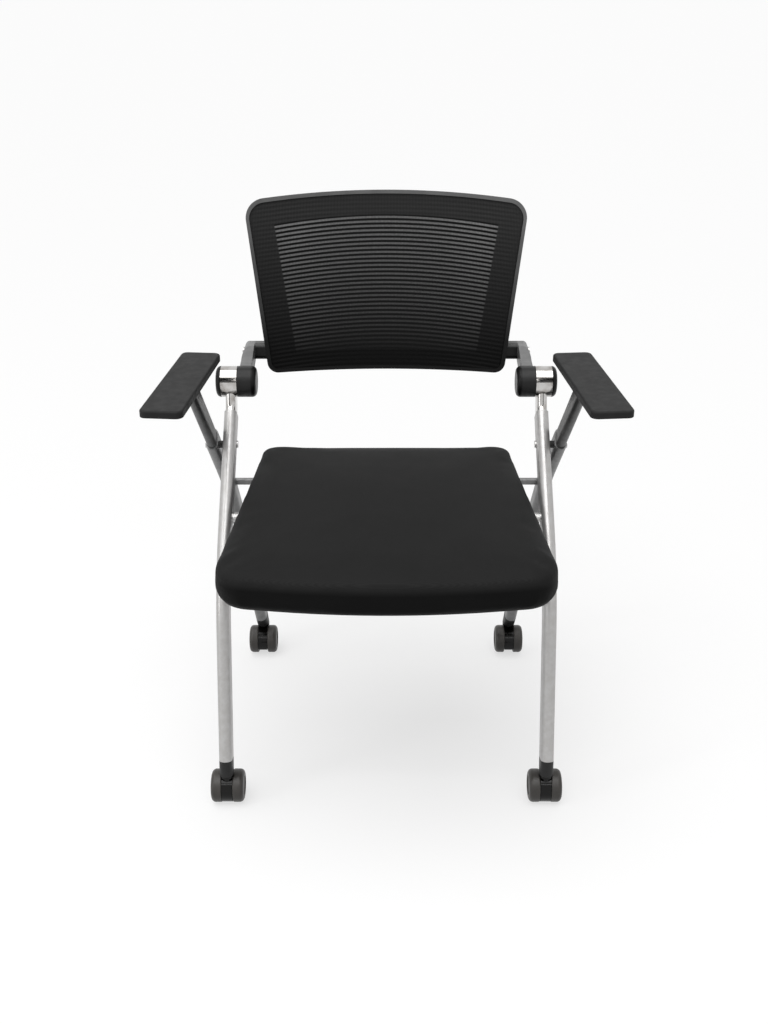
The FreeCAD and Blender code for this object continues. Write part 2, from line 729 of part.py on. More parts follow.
keep_pair("arm_post", arm_post)
keep_pair("arm_plate", arm_plate)
keep_pair("arm_pad", arm_pad)
both("arm_pad_screws", arm_pad_screws)


# Frame: plugs that take the casters' stems
stem_hole_radius = "stem_radius + running_gap"
stem_hole_top = "stem_top_z + 1"


def leg_plug(name, foot, bend, lean, stem_x, stem_y, set_down):
    """A tapered plug: oval in the leg, nearly round on the caster."""
    spigot_end = along(foot, bend, "foot_plug_length")
    path = side_line(f"{name}_path", foot, spigot_end)
    spigot = set_down(oval_bar(f"{name}_spigot", spigot_width, spigot_depth, path, foot, lean))
    upper = oval_section(f"{name}_upper", "tube_width", "tube_depth", *foot, lean)
    lower = oval_section(f"{name}_lower", "foot_plug_width", "foot_plug_depth", stem_y, "caster_top_z - 4", "0")
    taper = doc.addObject("Part::Loft", f"{name}_taper")
    taper.Sections = [upper, lower]
    taper.Solid = True
    taper.Ruled = True
    set_down(taper)
    below = block(f"{name}_below", 200, 200, "caster_top_z", f"({stem_x}) - 100", f"({stem_y}) - 100", 0)
    hole = rod_z(
        f"{name}_hole", stem_hole_radius, stem_x, stem_y, "caster_top_z - 1", f"{stem_hole_top} - caster_top_z + 1"
    )
    return cut(name, fuse(f"{name}_whole", spigot, taper), below, hole)


FRONT_STEM_X = "front_leg_x"
REAR_STEM_X = splay_x("caster_top_z")
keep_pair("front_leg_plug", lambda name: leg_plug(
    name, FRONT_FOOT, FRONT_BEND, front_lean, FRONT_STEM_X, "front_stem_y", lambda item: place(item, "front_leg_x")
))
keep_pair("rear_leg_plug", lambda name: leg_plug(
    name, REAR_FOOT, REAR_BEND, rear_lean, REAR_STEM_X, "rear_stem_y", splayed
))

# Frame: pin that the seat flips on
ear_outer_x = "front_leg_x - tube_width / 2 - pivot_collar_length - rail_side_gap"
ear_inner_x = f"{ear_outer_x} - rail_thickness"


def pivot_pin(name):
    head_start = f"{ear_inner_x} - rail_side_gap - pivot_head_height"
    collar_start = f"{ear_outer_x} + rail_side_gap"
    leg_inner = "front_leg_x - tube_width / 2"
    head = rod_x(f"{name}_head", "pivot_head_radius", head_start, "pivot_head_height", "pivot_y", "pivot_z")
    pin = rod_x(f"{name}_pin", "pivot_radius", head_start, f"{collar_start} - ({head_start})", "pivot_y", "pivot_z")
    collar = rod_x(f"{name}_collar", "pivot_collar_radius", collar_start, "pivot_collar_length", "pivot_y", "pivot_z")
    thread = rod_x(f"{name}_thread", pivot_thread, leg_inner, "tube_width - 1", "pivot_y", "pivot_z")
    return fuse(name, head, pin, collar, thread)


both("seat_pivot_pins", pivot_pin)

# Back: drawn upright with its lower edge at the origin, then leaned
back_middle_half = "((back_bottom_half + back_top_half) / 2)"
curve_axis = f"-sqrt(back_curve * back_curve - {back_middle_half} * {back_middle_half})"


def leaned(item):
    return place(item, 0, "back_y", "back_z", ALONG_X, "-back_lean")


def draw_arch(sketch, right, left, half, rise, height):
    """An arc that rises in the middle between the ends of two lines."""
    half_width, sag = value(half), value(rise)
    radius = (half_width * half_width + sag * sag) / (2 * sag)
    circle = Part.Circle(FreeCAD.Vector(0, value(height) + sag - radius, 0), FreeCAD.Vector(*ALONG_Z), radius)
    spread = math.asin(half_width / radius)
    arc = sketch.addGeometry(Part.ArcOfCircle(circle, math.pi / 2 - spread, math.pi / 2 + spread))
    sketch.addConstraint(Sketcher.Constraint("Coincident", arc, 1, *right))
    sketch.addConstraint(Sketcher.Constraint("Coincident", arc, 2, *left))
    number = sketch.addConstraint(Sketcher.Constraint("Radius", arc, radius))
    bind(sketch, f"Constraints[{number}]", f"(({half}) * ({half}) + ({rise}) * ({rise})) / (2 * ({rise}))")


def back_prism(name, inset):
    """The back's outline, moved inwards by an inset, as a thick block."""
    side_top = "back_height - back_arch"
    low = f"({inset})"
    high = f"{side_top} - ({inset})"
    low_half = f"back_bottom_half - ({inset})"
    high_half = f"back_top_half - ({inset})"
    body = doc.addObject("PartDesign::Body", name)
    sketch = body_sketch(body, f"{name}_outline", "XZ_Plane")
    low_left, low_right = point(f"-({low_half})", low), point(low_half, low)
    high_left, high_right = point(f"-({high_half})", high), point(high_half, high)
    sketch.addGeometry(Part.LineSegment(low_right, high_right))
    sketch.addGeometry(Part.LineSegment(high_left, low_left))
    draw_arch(sketch, (0, 2), (1, 1), high_half, "back_arch", high)
    draw_arch(sketch, (0, 1), (1, 2), low_half, "back_low_arch", low)
    fix_point(sketch, 0, 1, low_half, low)
    fix_point(sketch, 0, 2, high_half, high)
    fix_point(sketch, 1, 1, f"-({high_half})", high)
    fix_point(sketch, 1, 2, f"-({low_half})", low)
    pad = body.newObject("PartDesign::Pad", f"{name}_pad")
    pad.Profile = sketch
    pad.Midplane = True
    bind(pad, "Length", "6 * back_depth")
    doc.recompute()
    depthwise = FreeCAD.Vector(*ALONG_Y)
    middle_height = value("back_height / 2")
    round_edges(body, upright_edges(body.Tip, depthwise, lambda spot: spot.z > middle_height),
                f"back_top_corner - ({inset})")
    round_edges(body, upright_edges(body.Tip, depthwise, lambda spot: spot.z < middle_height),
                f"back_bottom_corner - ({inset})")
    return leaned(body)


def curved_slab(name, near, far):
    """A slab that follows the back's curve, from one depth to another."""
    tall = "back_height + 4 * back_depth"
    discs = []
    for part, depth in (("far", far), ("near", near)):
        disc = cylinder(f"{name}_{part}", f"back_curve + ({depth})", tall)
        discs.append(place(disc, 0, curve_axis, "-2 * back_depth"))
    return leaned(cut(name, *discs))


back_outer = back_prism("back_outer", "0")
back_inner = back_prism("back_inner", "back_rim")
groove_prism = back_prism("groove_prism", "back_rim - mesh_tongue")
mesh_prism = back_prism("mesh_prism", "back_rim - mesh_tongue + mesh_gap")
frame_slab = curved_slab("frame_slab", "0", "back_depth")
mesh_end = "mesh_setback + mesh_thickness"
groove_slab = curved_slab("groove_slab", "mesh_setback - mesh_gap", f"{mesh_end} + mesh_gap")
mesh_slab = curved_slab("mesh_slab", "mesh_setback", mesh_end)


# Back: brackets, each with the drum that turns on its hub
bracket_screw_y = "bracket_foot_y + bracket_foot_depth / 2"
bracket_screw_z = "bracket_foot_z + bracket_foot_height / 2"
bracket_outer_x = "bracket_inner_x + bracket_width"
rim_face_x = (
    f"(back_bottom_half + (back_top_half - back_bottom_half)"
    f" * ({bracket_screw_z} - back_z) / cos(back_lean) / (back_height - back_arch))"
)


def bracket_screw_rod(name, radius, start, length):
    return rod_x(name, radius, start, length, bracket_screw_y, bracket_screw_z)


screw_end_x = f"({rim_face_x} - back_rim + mesh_tongue + groove_wall)"
screw_hole = bracket_screw_rod(
    "bracket_screw_hole", "bracket_screw_radius + bolt_gap", screw_end_x, f"{bracket_outer_x} - {screw_end_x}"
)


def bracket(name):
    drum = rod_x(f"{name}_drum", "hub_radius", drum_inner_x, "drum_width", *HUB)
    foot_rear = "bracket_foot_y + bracket_foot_depth"
    foot_top = "bracket_foot_z + bracket_foot_height"
    lean_shift = "bracket_foot_height * tan(back_lean)"
    arm = padded(f"{name}_arm", "YZ_Plane", (
        ("hub_y - hub_radius * 0.2", "hub_z - hub_radius * 0.95"),
        ("hub_y + hub_radius * 1.4", "bracket_foot_z - bracket_foot_height * 0.55"),
        (foot_rear, "bracket_foot_z"),
        (f"{foot_rear} + {lean_shift}", foot_top),
        (f"bracket_foot_y + {lean_shift} - 10", foot_top),
        ("hub_y + hub_radius * 0.9", "bracket_foot_z + bracket_foot_height * 0.5"),
        ("hub_y - hub_radius * 0.2", "hub_z + hub_radius * 0.95"),
    ), "bracket_width", "bracket_inner_x")
    rear_corners = upright_edges(arm.Tip, FreeCAD.Vector(*ALONG_X), lambda spot: spot.y > value("hub_y"))
    round_edges(arm, rear_corners, "bracket_edge")
    foot = padded(f"{name}_foot", "YZ_Plane", (
        ("bracket_foot_y", "bracket_foot_z"), (foot_rear, "bracket_foot_z"),
        (f"{foot_rear} + {lean_shift}", foot_top), (f"bracket_foot_y + {lean_shift}", foot_top),
    ), f"{bracket_outer_x} - back_bottom_half", "back_bottom_half")
    round_edges(foot, upright_edges(foot.Tip, FreeCAD.Vector(*ALONG_X)), "bracket_edge")
    room_low = "hub_z - 2 * hub_radius"
    room = padded(f"{name}_room", "XZ_Plane", (
        ("back_bottom_half", room_low), (bracket_outer_x, room_low),
        (bracket_outer_x, foot_top), ("back_bottom_half", foot_top),
    ), "8 * hub_radius", "-hub_y", middle=True)
    corner = [
        f"Edge{number}" for number, edge in enumerate(room.Tip.Shape.Edges, start=1)
        if edge.CenterOfMass.x > value(bracket_outer_x) - 0.001 and edge.CenterOfMass.z > value(foot_top) - 0.001
        and edge.BoundBox.YLength > value("hub_radius")
    ]
    round_edges(room, corner, "bracket_round")
    rounded = common(f"{name}_rounded", fuse(f"{name}_angle", arm, foot), room)
    whole = fuse(f"{name}_whole", drum, rounded)
    cavity = rod_x(
        f"{name}_cavity", "hub_radius - drum_wall", f"{drum_inner_x} + drum_wall",
        "drum_width - 2 * drum_wall", *HUB
    )
    bore = rod_x(f"{name}_bore", "shaft_radius + bush_wall", drum_inner_x, "drum_width", *HUB)
    return cut(name, whole, back_outer, cavity, bore, screw_hole)


def hub_bush(name):
    start = f"{drum_outer_x} - drum_wall"
    sleeve = rod_x(f"{name}_sleeve", "shaft_radius + bush_wall", start, "drum_wall", *HUB)
    bore = rod_x(f"{name}_bore", "shaft_radius + running_gap", start, "drum_wall", *HUB)
    return cut(name, sleeve, bore)


def hub_inner_cap(name):
    cap = place(dome(f"{name}_dome", "hub_radius", "inner_cap_height"), drum_inner_x, *HUB, ALONG_Z, 180)
    spigot = rod_x(
        f"{name}_spigot", "shaft_radius + bush_wall - bolt_gap", drum_inner_x, "drum_wall - rail_side_gap", *HUB
    )
    return fuse(name, cap, spigot)


def bracket_screw(name):
    head = bracket_screw_rod(f"{name}_head", "bracket_screw_radius * 2", bracket_outer_x, "small_head_height")
    shank = bracket_screw_rod(
        f"{name}_shank", "bracket_screw_radius", screw_end_x, f"{bracket_outer_x} - {screw_end_x}"
    )
    return fuse(name, head, shank)


keep_pair("back_bracket", bracket)
keep_pair("hub_inner_cap", hub_inner_cap)
both("hub_bushes", hub_bush)
both("bracket_screws", bracket_screw)
rim = common("back_rim_solid", cut("back_ring", back_outer, back_inner), frame_slab)
groove = common("back_groove", groove_prism, groove_slab)
keep(cut("back_frame", rim, groove, screw_hole, mirrored("bracket_screw_hole_right", screw_hole)))
keep(common("back_mesh", mesh_prism, mesh_slab))


# Seat: outlines of lines and arcs, so that every layer follows the same edge
def rounded_outline(corners, radii, height):
    """A closed wire of straight runs joined by tangent arcs."""
    spots = [FreeCAD.Vector(x, y, height) for x, y in corners]
    count = len(spots)
    leaves, joins, tops = [], [], []
    for number, spot in enumerate(spots):
        back = (spots[number - 1] - spot).normalize()
        ahead = (spots[(number + 1) % count] - spot).normalize()
        half_turn = (math.pi - back.getAngle(ahead)) / 2
        reach = radii[number] * math.tan(half_turn)
        towards = (back + ahead).normalize()
        joins.append(spot + back * reach)
        leaves.append(spot + ahead * reach)
        tops.append(spot + towards * radii[number] * (1 / math.cos(half_turn) - 1))
    edges = []
    for number in range(count):
        edges.append(Part.Arc(joins[number], tops[number], leaves[number]).toShape())
        following = joins[(number + 1) % count]
        edges.append(Part.LineSegment(leaves[number], following).toShape())
    return Part.Wire(edges)


seat_front_half = "(front_leg_x - tube_width / 2 - seat_side_gap)"


def bow_radius(front, corner, half, corner_radius):
    """Radius of the front edge's bow: it takes its share of the straights between the front corners."""
    slope = math.atan((corner - front) / half)
    corner_turn = math.pi / 2 + slope
    straight = math.hypot(half, corner - front) - corner_radius * math.tan(corner_turn / 2)
    return value("seat_bow") * straight / math.tan(slope)


def seat_outline(inset, height):
    """The seat's outline, drawn in towards its middle by an inset at the sides."""
    front, corner, rear = value("seat_front_y"), value("seat_corner_y"), value("seat_rear_y")
    front_half, rear_half = value(seat_front_half), value("seat_rear_half")
    shrink = 1 - inset / front_half
    middle = (front + rear) / 2
    corners = [
        (x * shrink, middle + (y - middle) * shrink)
        for x, y in (
            (0, front), (front_half, corner), (rear_half, rear), (-rear_half, rear), (-front_half, corner),
        )
    ]
    front_round, rear_round = value("seat_front_corner"), value("seat_rear_corner")
    bow = bow_radius(front, corner, front_half, front_round)
    rounds = (bow, front_round, rear_round, rear_round, front_round)
    return rounded_outline(corners, [radius * shrink for radius in rounds], height)


def seat_layer(name, inset, low, thickness):
    """A flat layer of the seat."""
    item = doc.addObject("Part::Feature", name)
    face = Part.Face(seat_outline(value(inset), value(low)))
    item.Shape = face.extrude(FreeCAD.Vector(0, 0, value(thickness)))
    return item


cushion_low = value("seat_base_z + shell_thickness")
cushion_edge = cushion_low + value("cushion_side")
draw = value("cushion_draw")
rounding = value("cushion_round")
crown = value("cushion_crown")
crown_half = value(seat_front_half)
cushion_layers = [(draw, cushion_low), (draw * 0.3, cushion_low + rounding * 0.7), (0, cushion_low + rounding * 1.6)]
for angle in (20, 43, 66, 90):
    turn = math.radians(angle)
    cushion_layers.append((rounding * (1 - math.cos(turn)), cushion_edge - rounding * (1 - math.sin(turn))))
for share in (0.1, 0.25, 0.42, 0.6, 0.8):
    rise = crown * (1 - (1 - share) ** 2)
    cushion_layers.append((rounding + share * (crown_half - rounding), cushion_edge + rise))

cushion_block = doc.addObject("Part::Feature", "cushion_block")
cushion_block.Shape = Part.makeLoft([seat_outline(*layer) for layer in cushion_layers], True, True)
board_low = "seat_base_z + shell_thickness"
seat_board = seat_layer("seat_board_flat", "board_inset", board_low, "board_thickness")
seat_shell = seat_layer("seat_shell_flat", "shell_inset", "seat_base_z", "shell_thickness")

# Seat: rails with the ears that turn on the pins and the tails that hold under the cross bar
flange_low = "(seat_base_z - flange_thickness)"
board_rear_half = f"(seat_rear_half * (1 - board_inset / {seat_front_half}))"
seat_screw_x = f"({board_rear_half} - screw_edge)"
flange_inner_x = f"({seat_screw_x} - flange_edge)"
flange_start_y = "(pivot_y + ear_radius * 1.4)"
tail_top = "(cross_bar_z - cross_bar_radius - bumper_height)"
tail_front = "(cross_bar_y - tail_length / 2)"
seat_screw_depth = "flange_thickness + shell_thickness + screw_bite"


def seat_screw_y(count):
    return f"{flange_start_y} + flange_length * {0.12 + 0.38 * count}"


def seat_screw_hole(name, count):
    return rod_z(
        name, "small_screw_radius + bolt_gap", seat_screw_x, seat_screw_y(count), flange_low,
        f"{seat_screw_depth} + bolt_gap",
    )


seat_screw_holes = [seat_screw_hole(f"seat_screw_hole_{count}", count) for count in range(3)]
seat_screw_holes += [mirrored(f"{hole.Name}_right", hole) for hole in seat_screw_holes]


def seat_rail(name):
    plate = padded(f"{name}_plate", "YZ_Plane", (
        ("pivot_y - ear_radius", "pivot_z"),
        ("pivot_y - ear_radius * 0.7", "pivot_z + ear_radius * 0.8"),
        ("pivot_y + ear_radius * 0.7", "pivot_z + ear_radius * 0.8"),
        ("pivot_y + ear_radius", "pivot_z"),
        (flange_start_y, "seat_base_z"),
        (f"{tail_front} - rail_height", "seat_base_z"),
        (tail_front, "seat_base_z - rail_height * 0.5"),
        (tail_front, tail_top),
        (f"{tail_front} + tail_length", tail_top),
        (f"{tail_front} + tail_length", f"{tail_top} - tail_height"),
        (f"{tail_front} - rail_height * 0.5", f"{tail_top} - tail_height"),
        (f"{tail_front} - rail_height * 1.5", "seat_base_z - rail_height"),
        (flange_start_y, "seat_base_z - rail_height"),
    ), "rail_thickness", ear_inner_x)
    flange = block(
        f"{name}_flange", f"{ear_outer_x} - {flange_inner_x}", "flange_length", "flange_thickness",
        flange_inner_x, flange_start_y, flange_low,
    )
    pin_hole = rod_x(
        f"{name}_pin_hole", "pivot_radius + running_gap", ear_inner_x, "rail_thickness", "pivot_y", "pivot_z"
    )
    return cut(name, fuse(f"{name}_whole", plate, flange), pin_hole, *seat_screw_holes[:3])


def seat_screws(name):
    screws = []
    for count in range(3):
        head = rod_z(
            f"{name}_head_{count}", "small_head_radius", seat_screw_x, seat_screw_y(count),
            f"{flange_low} - small_head_height", "small_head_height",
        )
        shank = rod_z(
            f"{name}_shank_{count}", "small_screw_radius", seat_screw_x, seat_screw_y(count), flange_low,
            seat_screw_depth,
        )
        screws.append(fuse(f"{name}_{count}", head, shank))
    return group(name, *screws)


def bumper(name):
    return block(
        name, "rail_thickness", "bumper_length", "bumper_height",
        ear_inner_x, "cross_bar_y - bumper_length / 2", tail_top,
    )


keep_pair("seat_rail", seat_rail)
both("seat_screws", seat_screws)
both("rest_bumpers", bumper)
keep(cut("seat_shell", seat_shell, *seat_screw_holes))
keep(cut("seat_board", seat_board, *seat_screw_holes))
keep(cut("seat_cushion", cushion_block, seat_board))


# Casters: a body with its stem, an axle and two wheels
def caster_wheel(name):
    """A barrel-shaped wheel turned about X, closed on its outer side."""
    inner_face = "caster_width / 2 + wheel_gap"
    outer_face = f"{inner_face} + wheel_width"
    dish_face = f"{outer_face} - wheel_dish"
    dish_radius = "wheel_radius - wheel_round - 2 * wheel_dish"
    bore_end = "axle_length / 2 + wheel_gap"
    wheel = turned(name, (
        (inner_face, "axle_radius + running_gap"), (inner_face, "wheel_radius"), (outer_face, "wheel_radius"),
        (outer_face, dish_radius), (dish_face, f"{dish_radius} - wheel_dish"), (dish_face, "0"),
        (bore_end, "0"), (bore_end, "axle_radius + running_gap"),
    ))
    for face, radius in ((outer_face, "wheel_round"), (inner_face, "wheel_inner_round")):
        rim = [
            f"Edge{number}" for number, edge in enumerate(wheel.Tip.Shape.Edges, start=1)
            if edge.BoundBox.XMax - edge.BoundBox.XMin < 0.001
            and abs(edge.BoundBox.XMax - value(face)) < 0.001
            and edge.BoundBox.ZMax > value("wheel_radius") - 0.001
        ]
        round_edges(wheel, rim, radius)
    return wheel


def caster(corner, stem_x, stem_y, trail):
    """One caster; a positive trail puts the wheels behind the stem."""
    axle_y = f"({stem_y}) + ({trail})"
    axle_z = "wheel_radius"
    body_radius = "wheel_radius - caster_step"
    half_width = "caster_width / 2"
    wheel_top = "2 * wheel_radius + wheel_gap"
    prefix = f"caster_{corner}"
    drum = rod_x(f"{prefix}_drum", body_radius, f"({stem_x}) - {half_width}", "caster_width", axle_y, axle_z)
    below = block(
        f"{prefix}_low", "4 * caster_width", "4 * wheel_radius", "caster_clearance",
        f"({stem_x}) - 2 * caster_width", f"{axle_y} - 2 * wheel_radius", 0,
    )
    trailing = axle_y if trail == "caster_trail" else f"{axle_y} - 2 * wheel_radius"
    opening = block(
        f"{prefix}_opening", "4 * caster_width", "2 * wheel_radius", "caster_open_z",
        f"({stem_x}) - 2 * caster_width", trailing, 0,
    )
    neck_radius = f"{half_width} - caster_step"
    neck = rod_z(f"{prefix}_neck", neck_radius, stem_x, stem_y, axle_z, f"{wheel_top} - {axle_z}")
    disc = rod_z(
        f"{prefix}_disc", "foot_plug_width / 2", stem_x, stem_y, wheel_top,
        f"caster_top_z - swivel_gap - ({wheel_top})",
    )
    stem = rod_z(f"{prefix}_stem", "stem_radius", stem_x, stem_y, wheel_top, f"stem_top_z - ({wheel_top})")
    axle_start = f"({stem_x}) - axle_length / 2"
    axle_hole = rod_x(f"{prefix}_axle_hole", "axle_radius + bolt_gap", axle_start, "axle_length", axle_y, axle_z)
    keep(cut(f"{prefix}_body", fuse(f"{prefix}_whole", drum, neck, disc, stem), below, opening, axle_hole))
    keep(rod_x(f"{prefix}_axle", "axle_radius", axle_start, "axle_length", axle_y, axle_z))
    for side, turn in (("left", 0), ("right", 180)):
        wheel = caster_wheel(f"{prefix}_wheel_{side}")
        keep(place(wheel, stem_x, axle_y, axle_z, ALONG_Z, turn))


for side, sign in (("left", ""), ("right", "-")):
    caster(f"front_{side}", f"{sign}({FRONT_STEM_X})", "front_stem_y", "caster_trail")
    caster(f"rear_{side}", f"{sign}{REAR_STEM_X}", "rear_stem_y", "-caster_trail")

doc.recompute()
faults = [item.Name for item in doc.Objects if {"Invalid", "Error"} & set(item.State)]
faults += [item.Label for item in nodes if item.Shape.isNull() or not item.Shape.isValid()]
if faults:
    raise SystemExit(f"failed pieces: {faults}")

whole = FreeCAD.BoundBox()
for item in nodes:
    item.Shape.exportStep(f"parts/{item.Label}.step")
    whole.add(item.Shape.BoundBox)
print(f"{len(nodes)} sub-parts, X {whole.XMin:.2f} to {whole.XMax:.2f}")
print(f"Y {whole.YMin:.2f} to {whole.YMax:.2f}, Z {whole.ZMin:.2f} to {whole.ZMax:.2f}")
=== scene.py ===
import json
import math

import bpy
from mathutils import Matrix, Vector


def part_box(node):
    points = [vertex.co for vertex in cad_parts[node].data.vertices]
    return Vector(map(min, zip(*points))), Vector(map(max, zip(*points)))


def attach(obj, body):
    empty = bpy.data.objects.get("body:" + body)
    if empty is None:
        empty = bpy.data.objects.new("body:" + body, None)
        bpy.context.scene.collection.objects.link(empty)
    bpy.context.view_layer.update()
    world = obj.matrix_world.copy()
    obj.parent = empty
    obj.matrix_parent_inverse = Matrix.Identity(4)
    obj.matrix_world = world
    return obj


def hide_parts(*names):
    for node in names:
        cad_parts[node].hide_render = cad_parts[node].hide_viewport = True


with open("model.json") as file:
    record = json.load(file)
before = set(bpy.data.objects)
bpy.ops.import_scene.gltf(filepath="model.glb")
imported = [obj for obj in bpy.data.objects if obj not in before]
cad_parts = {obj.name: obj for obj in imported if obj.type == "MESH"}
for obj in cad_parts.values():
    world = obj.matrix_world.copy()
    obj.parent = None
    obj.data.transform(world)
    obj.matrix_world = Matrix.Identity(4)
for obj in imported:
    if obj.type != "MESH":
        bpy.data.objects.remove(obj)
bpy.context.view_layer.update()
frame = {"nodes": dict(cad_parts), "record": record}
NODES = frame["nodes"]

# All sizes are in metres. X runs to the sitter's left, Y to the rear and Z up.
MM = 0.001


# Materials: noise lies mostly in the wide range, and the narrow one leaves clearer blotches
NOISE_RANGE = (0.3, 0.7)
BLOTCH_RANGE = (0.35, 0.65)
SMEAR_RANGE = (0.4, 0.7)
NOISE_ROUGHNESS = 0.55
PLASTIC_IOR = 1.5
SMOOTHER = 0.05
ROUGHER = 0.06

# A mix node's sockets: its two colours, and its result
MIX_COLOURS = (6, 7)
MIX_RESULT = 2


def maths(tree, operation, *values):
    """The result of a math node on numbers and other results."""
    node = tree.nodes.new("ShaderNodeMath")
    node.operation = operation
    for socket, value in zip(node.inputs, values):
        if isinstance(value, (int, float)):
            socket.default_value = value
        else:
            tree.links.new(value, socket)
    return node.outputs[0]


class Finish:
    """One procedural material, laid out on object coordinates in metres."""

    def __init__(self, name, **sockets):
        self.material = bpy.data.materials.new(name)
        self.material.use_nodes = True
        self.tree = self.material.node_tree
        self.shader = self.tree.nodes["Principled BSDF"]
        for socket, value in sockets.items():
            self.shader.inputs[socket.replace("_", " ")].default_value = value
        self.place = self.tree.nodes.new("ShaderNodeTexCoord").outputs["Object"]

    def link(self, source, target):
        self.tree.links.new(source, target)

    def feed(self, source, socket):
        """Drive a socket of the shader."""
        self.link(source, self.shader.inputs[socket])

    def stretched(self, x, y, z):
        """Object coordinates scaled per axis."""
        node = self.tree.nodes.new("ShaderNodeMapping")
        self.link(self.place, node.inputs["Vector"])
        node.inputs["Scale"].default_value = (x, y, z)
        return node.outputs["Vector"]

    def axis(self, letter):
        """One coordinate as a number."""
        node = self.tree.nodes.new("ShaderNodeSeparateXYZ")
        self.link(self.place, node.inputs[0])
        return node.outputs[letter]

    def noise(self, size, detail=3, stretch=(1, 1, 1)):
        """Cloudy noise whose blotches are about a size across."""
        node = self.tree.nodes.new("ShaderNodeTexNoise")
        self.link(self.stretched(*stretch), node.inputs["Vector"])
        node.inputs["Scale"].default_value = 1 / size
        node.inputs["Detail"].default_value = detail
        node.inputs["Roughness"].default_value = NOISE_ROUGHNESS
        return node.outputs["Fac"]

    def mottle(self, size, detail=3):
        """Blotches from 0 to 1."""
        return self.spread(self.noise(size, detail), *BLOTCH_RANGE)

    def uneven(self, low, high, size, detail=3):
        """A number that wanders between two values."""
        return self.spread(self.noise(size, detail), *NOISE_RANGE, low, high)

    def cells(self, size):
        """Distance to the middle of small cells, for moulded grain."""
        node = self.tree.nodes.new("ShaderNodeTexVoronoi")
        self.link(self.place, node.inputs["Vector"])
        node.inputs["Scale"].default_value = 1 / size
        return node.outputs["Distance"]

    def calc(self, operation, *values):
        return maths(self.tree, operation, *values)

    def spread(self, source, low, high, new_low=0.0, new_high=1.0):
        """Map a range of one number to another range, clamped."""
        node = self.tree.nodes.new("ShaderNodeMapRange")
        self.link(source, node.inputs["Value"])
        ends = {"From Min": low, "From Max": high, "To Min": new_low, "To Max": new_high}
        for socket, value in ends.items():
            node.inputs[socket].default_value = value
        return node.outputs["Result"]

    def ridges(self, source, pitch):
        """A wave from 0 to 1 that repeats at a pitch along a number."""
        turned = self.calc("SINE", self.calc("MULTIPLY", source, 2 * math.pi / pitch))
        return self.calc("MULTIPLY_ADD", turned, 0.5, 0.5)

    def blend(self, factor, first, second):
        """Mix two colours or colour outputs by a factor."""
        node = self.tree.nodes.new("ShaderNodeMix")
        node.data_type = "RGBA"
        self.link(factor, node.inputs["Factor"])
        for number, value in zip(MIX_COLOURS, (first, second)):
            socket = node.inputs[number]
            if isinstance(value, tuple):
                socket.default_value = (*value, 1)
            else:
                self.link(value, socket)
        return node.outputs[MIX_RESULT]

    def greys(self, factor, low, high):
        """A neutral colour that a factor takes from one level to another."""
        return self.blend(factor, grey(low), grey(high))

    def bump(self, height, depth, strength):
        """Relief of a depth in metres, added to the relief that is there."""
        node = self.tree.nodes.new("ShaderNodeBump")
        node.inputs["Strength"].default_value = strength
        node.inputs["Distance"].default_value = depth
        self.link(height, node.inputs["Height"])
        normal = self.shader.inputs["Normal"]
        if normal.links:
            self.link(normal.links[0].from_socket, node.inputs["Normal"])
        self.feed(node.outputs["Normal"], "Normal")


def grey(level, warmth=0.0):
    """A neutral colour, a little warmer or cooler."""
    return (level * (1 + warmth), level, level * (1 - warmth))


def powder_coat(name, base, blotch, rough, metallic):
    """Powder coat with fine orange peel and faint blotches."""
    finish = Finish(name, Metallic=metallic, IOR=PLASTIC_IOR)
    finish.feed(finish.blend(finish.mottle(9 * MM, 2), base, blotch), "Base Color")
    finish.feed(finish.uneven(rough - SMOOTHER, rough + ROUGHER, 25 * MM, 4), "Roughness")
    finish.bump(finish.noise(1.3 * MM, 2), 0.03 * MM, 0.6)
    return finish.material


def polished(name, base, blotch):
    """Chrome with hairlines and faint smears."""
    finish = Finish(name, Metallic=1.0)
    smear = finish.noise(14 * MM, 4)
    finish.feed(finish.blend(finish.spread(smear, *SMEAR_RANGE), base, blotch), "Base Color")
    finish.feed(finish.spread(smear, *NOISE_RANGE, 0.07, 0.16), "Roughness")
    finish.bump(finish.noise(0.5 * MM, 2, stretch=(1, 1, 0.08)), 0.01 * MM, 0.3)
    return finish.material


def moulded(name, base, blotch, rough, grain, depth, specular=0.5):
    """Moulded plastic with a fine grain."""
    finish = Finish(name, IOR=PLASTIC_IOR, Specular_IOR_Level=specular)
    finish.feed(finish.blend(finish.mottle(30 * MM, 4), base, blotch), "Base Color")
    finish.feed(finish.uneven(rough - SMOOTHER, rough + ROUGHER, 12 * MM), "Roughness")
    finish.bump(finish.cells(grain), depth, 0.7)
    return finish.material


def zinc(name):
    """Plated steel of screws, pins and axles, with a fine grain."""
    finish = Finish(name, Metallic=1.0)
    finish.feed(finish.blend(finish.mottle(4 * MM), grey(0.62), grey(0.45, 0.03)), "Base Color")
    finish.feed(finish.uneven(0.22, 0.36, 2 * MM), "Roughness")
    finish.bump(finish.noise(0.4 * MM, 2), 0.02 * MM, 0.5)
    return finish.material


PALE_WOOD = (0.60, 0.43, 0.26)
BROWN_WOOD = (0.44, 0.29, 0.16)
GLUE_LINE = (0.30, 0.19, 0.10)
PLY_PITCH = 2.8 * MM


